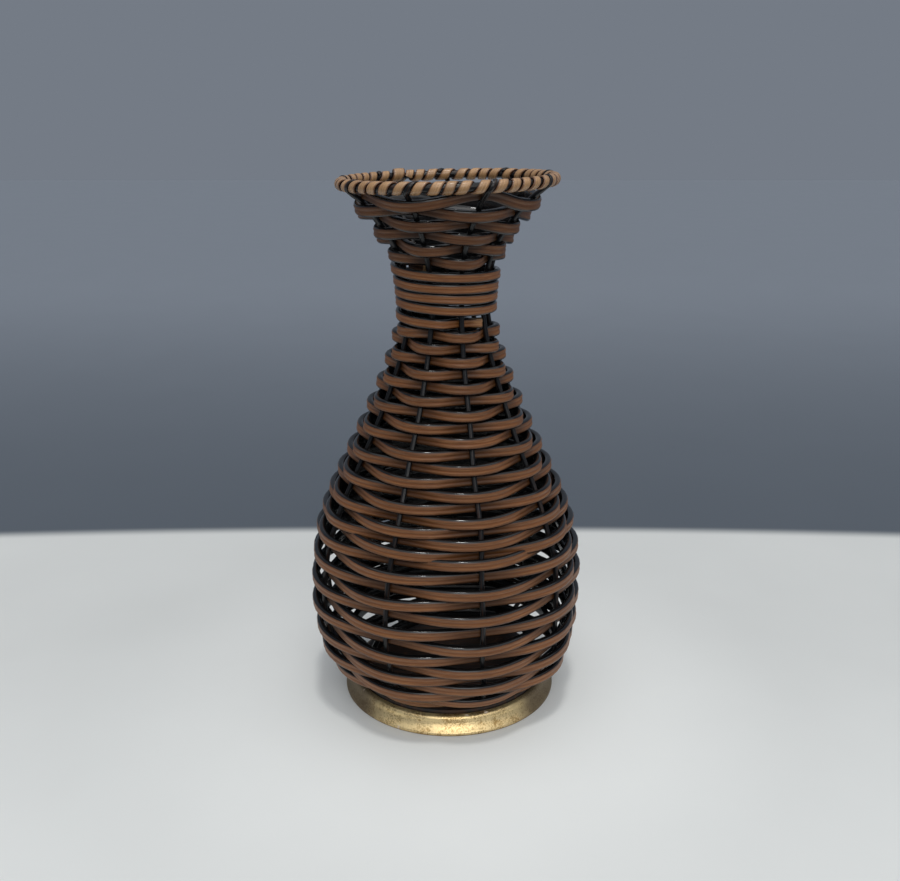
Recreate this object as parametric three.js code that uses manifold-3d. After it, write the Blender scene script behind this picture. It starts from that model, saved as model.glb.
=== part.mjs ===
// A woven table vase: nine round stakes stand in a base board inside a turned foot, a flat strand
// is woven round them up the body, wound about 4.5 times round the waist and woven again in the
// flared mouth, and the rim is a hoop lashed with a pale strip.
// Millimetres, +Z up. The origin is the centre of the foot's underside, and the front is -Y.
// Angles run round the vase from the front towards +X.
import * as THREE from "three";
import { mergeVertices } from "three/addons/utils/BufferGeometryUtils.js";
import Module from "manifold-3d";

// The line that the stakes follow, from the board over the belly and the waist to the rim hoop.
// Each height is a rise from the one before it, and the first is from the board's top.
const SEAT_RADIUS = 43;
const BELLY_RISE = 48;
const BELLY_RADIUS = 62.4;
const SHOULDER_RISE = 136;
const WAIST_RADIUS = 19.5;
const MOUTH_RISE = 56;
const RIM_RADIUS = 47.1;
// Height share and radius share of the way from the board's top to the belly.
const bowlShares = [
  [0.083, 0.13],
  [0.167, 0.39],
  [0.25, 0.655],
  [0.42, 0.84],
  [0.63, 0.93],
];
// Height share of the way from the belly to the waist, and how much of the belly is left.
const shoulderShares = [
  [0.16, 0.969],
  [0.31, 0.85],
  [0.456, 0.655],
  [0.603, 0.444],
  [0.75, 0.238],
  [0.9, 0.068],
];
// Height share and radius share of the way from the waist to the rim hoop's centre.
const mouthShares = [
  [0.107, 0.011],
  [0.286, 0.054],
  [0.464, 0.182],
  [0.643, 0.431],
  [0.786, 0.664],
  [0.884, 0.825],
];

// Foot and base board: the board reaches past the stakes' seats, and the foot is a lip round it
// that turns down over its shoulder into a cove and out again to a bead.
const BOARD_EDGE = 3.5;
const BOARD_THICKNESS = 6;
const FOOT_LIP = 1;
const FOOT_SHOULDER = 2.2;
const FOOT_BEAD_OUT = 3;
const FOOT_HEIGHT = 8.5;
const FOOT_FLOOR = 3.7;
const FOOT_EDGE_ROUND = 0.6;
const FOOT_BEAD_HEIGHT = 2.8;
const FOOT_BEAD_ROUND = 1.4;
const FOOT_COVE_HEIGHT = 4.6;

// Stakes.
const STAKE_COUNT = 9;
const STAKE_DIAMETER = 2.35;
const STAKE_TIP_DIAMETER = 1.5;
const FIRST_STAKE_ANGLE = 20;
// Angle that the stakes have leant round at the board, at the belly and from the waist upwards.
const BOARD_LEAN = -3;
const BELLY_LEAN = -4.5;
const WAIST_LEAN = 0;

// The flat strand, which is woven and wound, and the room between it and a stake.
const STRAND_WIDTH = 4.6;
const STRAND_THICKNESS = 2.35;
const CLEARANCE = 0.3;
const WEAVE_CLEARANCE = 0.4;

// Rim hoop and the strip that is lashed round it.
const HOOP_DIAMETER = 3.7;
const STRIP_WIDTH = 4.3;
const STRIP_THICKNESS = 0.9;
const LASHES_PER_STAKE = 5;
// How much the lashes draw apart, in degrees, to leave a stake's tip room between them.
const LASH_PARTING = 1.3;
const LASH_START_ANGLE = -153;
const LASH_TURNS = 44.7;
// Directions round the hoop's own centre, in degrees: 0 points outwards and 90 points up.
const TIP_GAP_DIRECTION = -60;
const TIP_END_DIRECTION = 150;

// Rows. A row is one turn of the strand, and it passes the front at FRONT_ANGLE. The lowest one
// lies a little above the board, the binding starts a little below the waist, and the highest one
// keeps clear of the lashed rim.
const FRONT_ANGLE = -4;
const FIRST_ROW_GAP = 3;
const ROW_GAP = 0.85;
const BINDING_DROP = 4.4;
const BINDING_GAP = 0.975;
const BINDING_ROW_COUNT = 4;
const JOIN_GAP = 0.8;
const FLARE_ROW_GAP = 0.38;
const RIM_GAP = 0.45;
// How many stakes a length of strand starts before its first row, goes on past its last one, or
// stops short of it.
const BODY_LEAD_COUNT = 2;
const BODY_EXTRA_COUNT = 5;
const BINDING_EXTRA_COUNT = 5;
const FLARE_LEAD_COUNT = 3;
const FLARE_TRIM_COUNT = 1;
// Share of the way to the next stake in which the binding comes out from behind its first one.
const BINDING_OUT_SHARE = 0.8;
// Row share of a woven length and the share of its height that the row has reached.
const bodyRowShares = [
  [0.065, 0.059],
  [0.16, 0.148],
  [0.226, 0.221],
  [0.323, 0.333],
  [0.419, 0.43],
  [0.548, 0.549],
  [0.71, 0.706],
  [0.871, 0.87],
];
const bindingRowShares = [
  [0.25, 0.27],
  [0.5, 0.513],
  [0.75, 0.757],
];
const flareRowShares = [
  [0.185, 0.216],
  [0.37, 0.446],
  [0.556, 0.643],
  [0.741, 0.829],
  [0.926, 0.985],
];

// Facets.
const LATHE_STEPS = 48;
const ROUND_SIDES = 6;
const HOLE_SIDES = 12;
const HOOP_SIDES = 8;
const HOOP_STEPS = 60;
const CURVE_STEPS = 3;
const WEAVE_STEPS_PER_STAKE = 2;
const WINDING_STEPS_PER_TURN = 24;
const LASH_STEPS_PER_TURN = 8;
const TIP_STEPS = 6;

const TURN = 360;
const stakeSpacing = TURN / STAKE_COUNT;
const boardUnderside = FOOT_FLOOR + CLEARANCE;
const boardTop = boardUnderside + BOARD_THICKNESS;
const boardRadius = SEAT_RADIUS + BOARD_EDGE;
const stakeFoot = boardUnderside + CLEARANCE;
const hoopRadius = HOOP_DIAMETER / 2;
const bellyHeight = boardTop + BELLY_RISE;
const waistHeight = bellyHeight + SHOULDER_RISE;
const rimHeight = waistHeight + MOUTH_RISE;

// Heights of the middle of the lowest and the highest row of each length of strand.
const bodyLow = boardTop + FIRST_ROW_GAP + STRAND_WIDTH / 2;
const bindingLow = waistHeight - BINDING_DROP;
const bodyHigh = bindingLow - STRAND_WIDTH - JOIN_GAP;
const bindingHigh = bindingLow + BINDING_ROW_COUNT * (STRAND_WIDTH + BINDING_GAP);
const flareLow = bindingHigh + STRAND_WIDTH + JOIN_GAP;
const lashedRadius = hoopRadius + CLEARANCE + STRIP_THICKNESS;
const flareHigh = rimHeight - lashedRadius - RIM_GAP - STRAND_WIDTH / 2;
// Rows are numbered up the vase, and a length's last row may be a part of a turn.
const bodyRows = Math.round((bodyHigh - bodyLow) / (STRAND_WIDTH + ROW_GAP));
const bindingRow = bodyRows + 1;
const flareRow = bindingRow + BINDING_ROW_COUNT + 1;
const flareRows = (flareHigh - flareLow) / (STRAND_WIDTH + FLARE_ROW_GAP);
// Stakes that each length runs from and to, counted along it from the first stake. A woven length
// ends inside a stake, and those are the even ones.
const evenCount = (count) => 2 * Math.round(count / 2);
const bodyStakes = [-BODY_LEAD_COUNT, bodyRows * STAKE_COUNT + BODY_EXTRA_COUNT].map(evenCount);
const bindingStakes = [
  bindingRow * STAKE_COUNT,
  (bindingRow + BINDING_ROW_COUNT) * STAKE_COUNT + BINDING_EXTRA_COUNT,
];
const flareStakes = [
  flareRow * STAKE_COUNT - FLARE_LEAD_COUNT,
  (flareRow + flareRows) * STAKE_COUNT - FLARE_TRIM_COUNT,
].map(evenCount);
const sin = (degrees) => Math.sin(THREE.MathUtils.degToRad(degrees));
const cos = (degrees) => Math.cos(THREE.MathUtils.degToRad(degrees));

// A smooth curve through [place, value] pairs that never swings past them.
function smooth(pairs) {
  const grades = pairs.slice(1).map(([x, y], i) => (y - pairs[i][1]) / (x - pairs[i][0]));
  const slopes = pairs.map((_, i) => {
    const before = grades[Math.max(i - 1, 0)];
    const after = grades[Math.min(i, grades.length - 1)];
    return before * after <= 0 ? 0 : (2 * before * after) / (before + after);
  });
  return (x) => {
    let i = pairs.findIndex(([place]) => place > x) - 1;
    if (i === -2) i = pairs.length - 2;
    if (i < 0) i = 0;
    const [x0, y0] = pairs[i];
    const [x1, y1] = pairs[i + 1];
    if (x < x0) return y0 + slopes[i] * (x - x0);
    if (x > x1) return y1 + slopes[i + 1] * (x - x1);
    const span = x1 - x0;
    const u = (x - x0) / span;
    const v = 1 - u;
    return (
      y0 * (1 + 2 * u) * v * v + y1 * (3 - 2 * u) * u * u +
      slopes[i] * span * u * v * v - slopes[i + 1] * span * u * u * v
    );
  };
}

// Pairs of shares turned into pairs of real places between two ends.
function between([x0, y0], shares, [x1, y1]) {
  return shares.map(([p, q]) => [x0 + p * (x1 - x0), y0 + q * (y1 - y0)]);
}

// The stake line's radius at a height.
const seatTop = [boardTop, SEAT_RADIUS];
const belly = [bellyHeight, BELLY_RADIUS];
const waist = [waistHeight, WAIST_RADIUS];
const hoopCentre = [rimHeight, RIM_RADIUS];
const shoulder = between([bellyHeight, WAIST_RADIUS], shoulderShares, [waistHeight, BELLY_RADIUS]);
const stakeLine = [
  [boardUnderside, SEAT_RADIUS],
  seatTop,
  ...between(seatTop, bowlShares, belly),
  belly,
  ...shoulder,
  waist,
  ...between(waist, mouthShares, hoopCentre),
];

// From the last of those places a stake runs straight until it touches the circle that its tip
// bends round, outside the hoop.
const tipBend = hoopRadius + CLEARANCE + STAKE_TIP_DIAMETER / 2;
const lastPlace = stakeLine[stakeLine.length - 1];
const toHoop = [rimHeight - lastPlace[0], RIM_RADIUS - lastPlace[1]];
const reach = Math.hypot(...toHoop);
const climb = Math.atan2(...toHoop) - Math.asin(tipBend / reach);
const straight = Math.sqrt(reach * reach - tipBend * tipBend);
const tipTouch = [
  lastPlace[0] + straight * Math.sin(climb),
  lastPlace[1] + straight * Math.cos(climb),
];
const radiusAt = smooth([...stakeLine, tipTouch]);
const leanAt = smooth([
  [boardTop, BOARD_LEAN],
  [bellyHeight, BELLY_LEAN],
  [waistHeight, WAIST_LEAN],
  [rimHeight, WAIST_LEAN],
]);

// A point at an angle and height, moved off the stake line's surface along its normal, out.
function place(angle, height, offset) {
  const step = CLEARANCE;
  const grade = (radiusAt(height + step) - radiusAt(height - step)) / (step + step);
  const size = Math.hypot(1, grade);
  const around = new THREE.Vector3(sin(angle), -cos(angle), 0);
  const out = around.clone().divideScalar(size);
  out.z = -grade / size;
  const point = around.multiplyScalar(radiusAt(height));
  point.z = height;
  return { point: point.addScaledVector(out, offset), out };
}

// One closed tube through points. outs are the directions that the section's thickness takes,
// halves the section's half width and half thickness, and section its corners as shares of them.
// Each side is split along the way across that lies farther out, so that a tube wound round
// something keeps clear of it.
function tube(points, outs, halves, section) {
  const corners = [];
  const faces = [];
  const sides = section.length;
  points.forEach((point, i) => {
    const before = points[Math.max(i - 1, 0)];
    const after = points[Math.min(i + 1, points.length - 1)];
    const ahead = after.clone().sub(before).normalize();
    const thick = outs[i].clone().addScaledVector(ahead, -outs[i].dot(ahead)).normalize();
    const wide = thick.clone().cross(ahead);
    const [halfWidth, halfThickness] = halves(i);
    for (const [a, b] of section) {
      const corner = point.clone().addScaledVector(wide, a * halfWidth);
      corners.push(corner.addScaledVector(thick, b * halfThickness));
    }
  });
  for (let i = 0; i + 1 < points.length; i++) {
    for (let k = 0; k < sides; k++) {
      const a = i * sides + k;
      const b = i * sides + ((k + 1) % sides);
      const c = b + sides;
      const d = a + sides;
      const outward = (p, q) => corners[p].clone().add(corners[q]).dot(outs[i]);
      faces.push(...(outward(a, c) > outward(b, d) ? [a, b, c, a, c, d] : [a, b, d, b, c, d]));
    }
  }
  const last = (points.length - 1) * sides;
  for (let k = 1; k + 1 < sides; k++) {
    faces.push(0, k + 1, k);
    faces.push(last, last + k, last + k + 1);
  }
  const geometry = new THREE.BufferGeometry().setFromPoints(corners);
  geometry.setIndex(faces);
  geometry.computeVertexNormals();
  return geometry;
}

const roundSection = [...Array(ROUND_SIDES)].map((_, k) => [
  cos((k * TURN) / ROUND_SIDES),
  sin((k * TURN) / ROUND_SIDES),
]);
const flatSectionShares = [
  [1, -1],
  [1, 1],
  [-1, 1],
  [-1, -1],
];
const ovalSectionShares = [
  [1, 0],
  [0.7, 1],
  [-0.7, 1],
  [-1, 0],
  [-0.7, -1],
  [0.7, -1],
];

// How far the strand's middle lies from the stake line where it passes a stake.
const strandOffset = STAKE_DIAMETER / 2 + WEAVE_CLEARANCE + STRAND_THICKNESS / 2;
const strandHalves = () => [STRAND_WIDTH / 2, STRAND_THICKNESS / 2];

// The angle that a lash, or a gap between lashes, has when it is so many lashes past a stake.
function lashAngle(lashes) {
  const wave = (lashes / LASHES_PER_STAKE) * TURN;
  return (lashes * stakeSpacing) / LASHES_PER_STAKE + LASH_PARTING * sin(wave);
}

// A point round the hoop: direction goes round its section, and distance is from its centre.
function roundHoop(angle, direction, distance) {
  const around = new THREE.Vector3(sin(angle), -cos(angle), 0);
  const out = around.clone().multiplyScalar(cos(direction));
  out.z = sin(direction);
  const point = around.multiplyScalar(RIM_RADIUS);
  point.z = rimHeight;
  return { point: point.addScaledVector(out, distance), out };
}

function stake(index) {
  const angle = FIRST_STAKE_ANGLE + index * stakeSpacing;
  const heights = [stakeFoot];
  stakeLine.slice(1).forEach(([height], i, all) => {
    if (i > 0) heights.push((all[i - 1][0] + height) / 2);
    heights.push(height);
  });
  const path = heights.map((height) => place(angle + leanAt(height), height, 0));
  const touch = Math.atan2(tipTouch[0] - rimHeight, tipTouch[1] - RIM_RADIUS);
  const firstDirection = THREE.MathUtils.radToDeg(touch);
  for (let i = 0; i <= TIP_STEPS; i++) {
    const direction = THREE.MathUtils.lerp(firstDirection, TIP_END_DIRECTION, i / TIP_STEPS);
    const lashes = (direction - TIP_GAP_DIRECTION) / TURN;
    path.push(roundHoop(angle + lashAngle(lashes), direction, tipBend));
  }
  const tipStart = heights.length - 1;
  return tube(
    path.map(({ point }) => point),
    path.map(({ out }) => out),
    (i) => {
      const radius = (i <= tipStart ? STAKE_DIAMETER : STAKE_TIP_DIAMETER) / 2;
      return [radius, radius];
    },
    roundSection,
  );
}

// The height that a strand has reached at a row, between its lowest and its highest row.
function rowHeights(firstRow, rows, [low, high], shares) {
  return smooth([
    [firstRow, low],
    ...between([firstRow, low], shares, [firstRow + rows, high]),
    [firstRow + rows, high],
  ]);
}
const bodyHeightAt = rowHeights(0, bodyRows, [bodyLow, bodyHigh], bodyRowShares);
const bindingEnds = [bindingLow, bindingHigh];
const bindingHeightAt = rowHeights(bindingRow, BINDING_ROW_COUNT, bindingEnds, bindingRowShares);
const flareHeightAt = rowHeights(flareRow, flareRows, [flareLow, flareHigh], flareRowShares);

// A strand runs backwards round the vase as it climbs, so it passes stake after stake with a
// falling angle. Stakes are counted from the first one, at row 0, in that order.
const rowAtStake = (count) => (count * stakeSpacing - FIRST_STAKE_ANGLE + FRONT_ANGLE) / TURN;

// A strand from one counted stake to another, with a tail at each end that lies along the inside
// of its last stake and goes one strand width past it.
function strand([fromStake, toStake], steps, heightAt, offsetAt, section) {
  const counts = [...Array(steps + 1)].map((_, i) =>
    THREE.MathUtils.lerp(fromStake, toStake, i / steps),
  );
  const tailAt = (count) => {
    const angle = STRAND_WIDTH / radiusAt(heightAt(rowAtStake(count)));
    return THREE.MathUtils.radToDeg(angle) / stakeSpacing;
  };
  counts.unshift(fromStake - tailAt(fromStake));
  counts.push(toStake + tailAt(toStake));
  const path = counts.map((count) => {
    const height = heightAt(rowAtStake(count));
    const angle = FIRST_STAKE_ANGLE - count * stakeSpacing + leanAt(height);
    return place(angle, height, offsetAt(THREE.MathUtils.clamp(count, fromStake, toStake)));
  });
  const points = path.map(({ point }) => point);
  const outs = path.map(({ out }) => out);
  return { points, geometry: tube(points, outs, strandHalves, section) };
}

// Over one stake and under the next: inside every even stake, outside every odd one.
const overAndUnder = (count) => -strandOffset * Math.cos(Math.PI * count);
function weave(stakes, heightAt) {
  const steps = Math.round((stakes[1] - stakes[0]) * WEAVE_STEPS_PER_STAKE);
  return strand(stakes, steps, heightAt, overAndUnder, flatSectionShares).geometry;
}

// The binding comes out from behind one stake, stays outside all of them, and goes in again.
function binding() {
  const [from, to] = bindingStakes;
  const steps = Math.round(((to - from) / STAKE_COUNT) * WINDING_STEPS_PER_TURN);
  const sagitta = WAIST_RADIUS * (1 - cos(TURN / WINDING_STEPS_PER_TURN / 2));
  const offsetAt = (count) => {
    const fromEnd = Math.min(count - from, to - count);
    const inward = Math.max(1 - fromEnd / BINDING_OUT_SHARE, 0);
    return (strandOffset + sagitta) * Math.cos(Math.PI * inward);
  };
  return strand(bindingStakes, steps, bindingHeightAt, offsetAt, ovalSectionShares);
}

// The strip lashed round the hoop.
function lashing() {
  const distance = lashedRadius - STRIP_THICKNESS / 2;
  const steps = Math.round(LASH_TURNS * LASH_STEPS_PER_TURN);
  const lashSpacing = stakeSpacing / LASHES_PER_STAKE;
  const firstLash = Math.floor((LASH_START_ANGLE - FIRST_STAKE_ANGLE) / lashSpacing) + 1 / 2;
  const path = [];
  for (let i = 0; i <= steps; i++) {
    const turns = (i / steps) * LASH_TURNS;
    const direction = TIP_GAP_DIRECTION + turns * TURN;
    path.push(roundHoop(FIRST_STAKE_ANGLE + lashAngle(firstLash + turns), direction, distance));
  }
  const points = path.map(({ point }) => point);
  const outs = path.map(({ out }) => out);
  const halves = () => [STRIP_WIDTH / 2, STRIP_THICKNESS / 2];
  return { points, geometry: tube(points, outs, halves, flatSectionShares) };
}

// The foot is turned: a bead at its edge, a cove and a round shoulder, and a recess for the board.
function foot() {
  const recess = boardRadius + CLEARANCE;
  const lip = recess + FOOT_LIP;
  const cove = lip + FOOT_SHOULDER;
  const footRadius = cove + FOOT_BEAD_OUT;
  const bead = footRadius - FOOT_BEAD_ROUND;
  const outline = new THREE.Path();
  outline.moveTo(0, 0);
  outline.lineTo(footRadius - FOOT_EDGE_ROUND, 0);
  outline.quadraticCurveTo(footRadius, 0, footRadius, FOOT_EDGE_ROUND);
  outline.lineTo(footRadius, FOOT_BEAD_HEIGHT - FOOT_BEAD_ROUND);
  outline.quadraticCurveTo(footRadius, FOOT_BEAD_HEIGHT, bead, FOOT_BEAD_HEIGHT);
  outline.quadraticCurveTo(cove, FOOT_BEAD_HEIGHT, cove, FOOT_COVE_HEIGHT);
  outline.quadraticCurveTo(cove, FOOT_HEIGHT, lip, FOOT_HEIGHT);
  outline.lineTo(recess, FOOT_HEIGHT);
  outline.lineTo(recess, FOOT_FLOOR);
  outline.lineTo(0, FOOT_FLOOR);
  return new THREE.LatheGeometry(outline.getPoints(CURVE_STEPS), LATHE_STEPS).rotateX(Math.PI / 2);
}

const wasm = await Module();
wasm.setup();

function toSolid(geometry) {
  const bare = geometry.clone().deleteAttribute("normal").deleteAttribute("uv");
  const merged = mergeVertices(bare);
  return new wasm.Manifold(
    new wasm.Mesh({
      numProp: 3,
      vertProperties: new Float32Array(merged.attributes.position.array),
      triVerts: new Uint32Array(merged.index.array),
    }),
  );
}

function fromSolid(solid) {
  const mesh = solid.getMesh();
  const geometry = new THREE.BufferGeometry();
  geometry.setAttribute("position", new THREE.BufferAttribute(mesh.vertProperties, mesh.numProp));
  geometry.setIndex(new THREE.BufferAttribute(mesh.triVerts, 1));
  geometry.computeVertexNormals();
  return geometry;
}

// The base board, with a drilled seat for each stake.
function baseBoard() {
  const middle = boardUnderside + BOARD_THICKNESS / 2;
  const disc = new THREE.CylinderGeometry(boardRadius, boardRadius, BOARD_THICKNESS, LATHE_STEPS);
  let board = toSolid(disc.rotateX(Math.PI / 2).translate(0, 0, middle));
  const drill = STAKE_DIAMETER / 2 + CLEARANCE;
  const depth = BOARD_THICKNESS + CLEARANCE * 2;
  for (let index = 0; index < STAKE_COUNT; index++) {
    const angle = FIRST_STAKE_ANGLE + index * stakeSpacing + leanAt(boardTop);
    const hole = new THREE.CylinderGeometry(drill, drill, depth, HOLE_SIDES);
    hole.rotateX(Math.PI / 2);
    hole.translate(SEAT_RADIUS * sin(angle), -SEAT_RADIUS * cos(angle), middle);
    board = board.subtract(toSolid(hole));
  }
  return fromSolid(board);
}

// The least gap between a wound tube's turns, measured from point to point.
function leastGap(points, stepsPerTurn, width) {
  let least = Infinity;
  const apart = Math.round(stepsPerTurn / 2);
  points.forEach((point, i) => {
    for (let k = i + apart; k < Math.min(i + 2 * stepsPerTurn, points.length - 1); k++) {
      const nearest = new THREE.Vector3();
      new THREE.Line3(points[k], points[k + 1]).closestPointToPoint(point, true, nearest);
      least = Math.min(least, nearest.distanceTo(point));
    }
  });
  return least - width;
}

const finish = (color, roughness, metalness) =>
  new THREE.MeshStandardMaterial({ color, roughness, metalness });
const gold = finish(0xa88a4e, 0.42, 0.85);
const stainedBoard = finish(0x1d1a17, 0.7, 0);
const blackStake = finish(0x121212, 0.28, 0);
const brownStrand = finish(0x7a4f34, 0.45, 0);
const paleStrip = finish(0xc09560, 0.5, 0);

const vase = new THREE.Group();
function add(name, geometry, material) {
  const mesh = new THREE.Mesh(geometry, material);
  mesh.name = name;
  vase.add(mesh);
}

add("foot", foot(), gold);
add("base_board", baseBoard(), stainedBoard);
for (let index = 0; index < STAKE_COUNT; index++) {
  add(`stake_${index + 1}`, stake(index), blackStake);
}
add("body_weaver", weave(bodyStakes, bodyHeightAt), brownStrand);
const neckBinding = binding();
add("neck_binding", neckBinding.geometry, brownStrand);
add("flare_weaver", weave(flareStakes, flareHeightAt), brownStrand);
const hoop = new THREE.TorusGeometry(RIM_RADIUS, hoopRadius, HOOP_SIDES, HOOP_STEPS);
add("rim_hoop", hoop.translate(0, 0, rimHeight), blackStake);
const rimLashing = lashing();
add("rim_lashing", rimLashing.geometry, paleStrip);

const bindingGap = leastGap(neckBinding.points, WINDING_STEPS_PER_TURN, STRAND_WIDTH);
const lashingGap = leastGap(rimLashing.points, LASH_STEPS_PER_TURN, STRIP_WIDTH);
console.log(`least gap in the neck binding ${bindingGap.toFixed(2)} mm`);
console.log(`least gap in the rim lashing ${lashingGap.toFixed(2)} mm`);

export default vase;
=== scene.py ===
"""The looks of a woven table vase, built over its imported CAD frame.

Metres, +Z up, the front is -Y. Angles run round the vase from the front towards +X, in degrees.
"""

import math

import bpy
import numpy as np
from bpy.props import (
    FloatProperty,
    FloatVectorProperty,
    IntProperty,
    PointerProperty,
)
from bpy.types import Operator, Panel, PropertyGroup
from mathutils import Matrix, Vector


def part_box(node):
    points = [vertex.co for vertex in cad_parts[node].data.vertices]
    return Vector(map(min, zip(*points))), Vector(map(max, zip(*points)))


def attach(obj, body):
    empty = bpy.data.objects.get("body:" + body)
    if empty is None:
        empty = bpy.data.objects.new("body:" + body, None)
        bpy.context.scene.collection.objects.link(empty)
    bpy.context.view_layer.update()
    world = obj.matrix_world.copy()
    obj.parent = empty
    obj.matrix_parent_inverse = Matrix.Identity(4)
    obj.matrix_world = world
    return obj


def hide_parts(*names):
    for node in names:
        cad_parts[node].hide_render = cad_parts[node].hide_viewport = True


bl_info = {
    "name": "Woven Vase",
    "version": (1, 0, 0),
    "blender": (4, 5, 0),
    "location": "View3D > Sidebar > Woven Vase",
    "description": "Builds a woven table vase with a bound neck, a lashed rim and a gold foot",
    "category": "Add Mesh",
}

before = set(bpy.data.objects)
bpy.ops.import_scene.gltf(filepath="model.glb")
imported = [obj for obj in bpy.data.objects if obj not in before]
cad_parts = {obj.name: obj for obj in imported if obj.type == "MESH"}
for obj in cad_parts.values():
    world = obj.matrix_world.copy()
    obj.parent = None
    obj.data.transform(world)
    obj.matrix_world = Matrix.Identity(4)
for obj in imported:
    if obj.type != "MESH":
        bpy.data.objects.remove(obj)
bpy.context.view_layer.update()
FOOT_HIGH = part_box("foot")[1]
BOARD_LOW, BOARD_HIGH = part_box("base_board")
HOOP_LOW, HOOP_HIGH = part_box("rim_hoop")
STAKE_COUNT = sum(name.startswith("stake_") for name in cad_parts)
STAKE_SPACING = 360 / STAKE_COUNT
FIRST_STAKE_ANGLE = 20
MM = 0.001
# How far pieces stand apart that just don't touch.
CLEARANCE = 0.1 * MM

# Height share and radius share of the way from the board's top to the belly.
BOWL_SHARES = [(0.083, 0.13), (0.167, 0.39), (0.25, 0.655), (0.42, 0.84), (0.63, 0.93)]
# Height share of the way from the belly to the waist, and how much of the belly is left.
SHOULDER_SHARES = [
    (0.16, 0.957), (0.31, 0.815), (0.456, 0.61), (0.603, 0.4), (0.75, 0.203), (0.9, 0.05),
]
# Height share and radius share of the way from the waist to the rim hoop's centre.
MOUTH_SHARES = [
    (0.107, 0.011), (0.286, 0.054), (0.464, 0.168), (0.643, 0.39), (0.786, 0.62), (0.884, 0.806),
]
# Row share of each woven length and the share of its height that the row has reached.
BODY_ROW_SHARES = [
    (0.065, 0.059), (0.16, 0.148), (0.226, 0.221), (0.323, 0.333),
    (0.419, 0.43), (0.548, 0.549), (0.71, 0.706), (0.871, 0.87),
]
BINDING_ROW_SHARES = [(0.25, 0.27), (0.5, 0.513), (0.75, 0.757)]
MOUTH_ROW_SHARES = [
    (0.185, 0.216), (0.37, 0.446), (0.556, 0.643), (0.741, 0.829), (0.926, 0.985),
]
# Places, counted in stakes, where a strand lies higher or lower than its even climb, and by how
# many millimetres.
BODY_LIFTS = [
    (-7, 0.3), (-4, 1.3), (-2.6, 1.3), (-1, 0.2), (-0.3, 2), (0.05, -1.4), (0.7, 0), (3, 0),
    (40, 0), (45, -0.8), (46, 0), (63, -0.9), (64, 0.6), (67, 0), (76, 0), (81.5, 1), (84, 0.3),
    (90.5, 1.4), (91.5, 0.1), (95, 0.2), (99.2, 0.9), (103, 0.3), (108.7, 2.1), (112, 0.7),
    (117, 3.3), (119, 1), (123, 0.4), (126.3, 0.9), (127.2, 2.1), (130, 0.5), (135, 1.1),
    (139, 0.2), (145, 0.7), (150, 0),
]
BINDING_LIFTS = [(288, 0), (297.5, 0.35), (306.5, -0.2), (315.5, -1), (324.5, -1.2), (330, -0.6)]
MOUTH_LIFTS = [
    (324, 0.5), (329, 0.5), (331, 2.6), (333.3, -0.7), (335, 1.2), (338, 0), (342.7, -0.2),
    (345, 1.4), (347, 0.4), (349, -2.5), (351, -0.9), (353, 0), (356, 0), (359, -2.2),
    (360.7, -0.3), (363, 1.4), (365, 0.6), (367, -3.1), (369, -0.6), (371, 0.4), (374, 0.2),
    (377.2, -1.5), (378, 1.2), (379, 0.4), (380.3, 1.2), (385, 1.2),
]
# Rows of the binding and of the mouth, from the lowest to the highest.
BINDING_ROWS, MOUTH_ROWS = 4, 5.4
# Where each strand starts and ends, in stakes from its first row, but the body's end from its
# last row.
BODY_REACH, BINDING_REACH, MOUTH_REACH = (-4, 5), (0, 41), (-3, 47)
# The angle to the left of the front at which a row starts.
ROW_START = 4
# How many stakes a strand lies inside of before it starts to go in and out.
BODY_LEAD, MOUTH_LEAD = 2.4, 4.6
# How far the binding's first end is tucked in, and over how much of that it bends, in stakes.
BINDING_TUCK, TUCK_START, TUCK_SPAN = 0.78, 0.3, 0.8
# How far the mouth's strand goes in and out square to the wall.
MOUTH_SLANT = 0.4
# How many steps a woven strand has from one stake to the next, and the binding in all.
STEPS_PER_STAKE, BINDING_STEPS = 9, 460
# Angles from the front between which the rows behind the vase grow wider, and by what share.
# Between the two heights the lowest rows come to take part in it.
WIDER_BEHIND = [(75, 110, 0.1), (120, 136, 0.35)]
WIDER_FROM, WIDER_WHOLE = 14.5 * MM, 17 * MM
# Seeds of the small unevennesses. Each strand and the strip use their own and the next two.
BODY_SEED, BINDING_SEED, MOUTH_SEED, STRIP_SEED, STAKE_SEED = 11, 31, 51, 71, 100

# The right half of the strand's section, from its edge over a low ridge to the groove in the
# middle of its face, and of its back: shares of half its width and half its thickness.
FACE_HALF = [
    (1, 0), (0.985, 0.28), (0.94, 0.52), (0.87, 0.7), (0.77, 0.83),
    (0.64, 0.94), (0.5, 1), (0.36, 1), (0.22, 0.94), (0.1, 0.88),
]
GROOVE = (0, 0.86)
BACK_HALF = [(0.35, -1), (0.7, -0.92), (0.9, -0.68), (0.98, -0.34)]
# The right half of the lashed strip's face, its middle and its flat back: shares of half its
# width and of its thickness, and how much of the face is domed.
STRIP_HALF = [(1, 0.3), (0.93, 0.66), (0.7, 0.9), (0.35, 0.98)]
STRIP_TOP = (0, 1)
STRIP_BACK = [(-0.9, 0), (-0.4, 0), (0.4, 0), (0.9, 0)]
STRIP_DOME = 0.8

# Directions round the hoop's section, where 0 is out and 90 is up: where a stake's tip passes
# between two lashes, and where it ends.
TIP_GAP_DIRECTION = -60
TIP_END_DIRECTION = 150
# Turns of the lashing, steps in each turn, the angle at which it starts, and by how many degrees
# the lashes are parted for a stake's tip.
LASH_TURNS, STEPS_PER_LASH, LASH_START, LASH_PARTING = 44.7, 26, -153, 1.3
# The angle at which the hoop's rod starts, and how far its ends lie side by side.
HOOP_START, HOOP_OVERLAP = 190, 26

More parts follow.
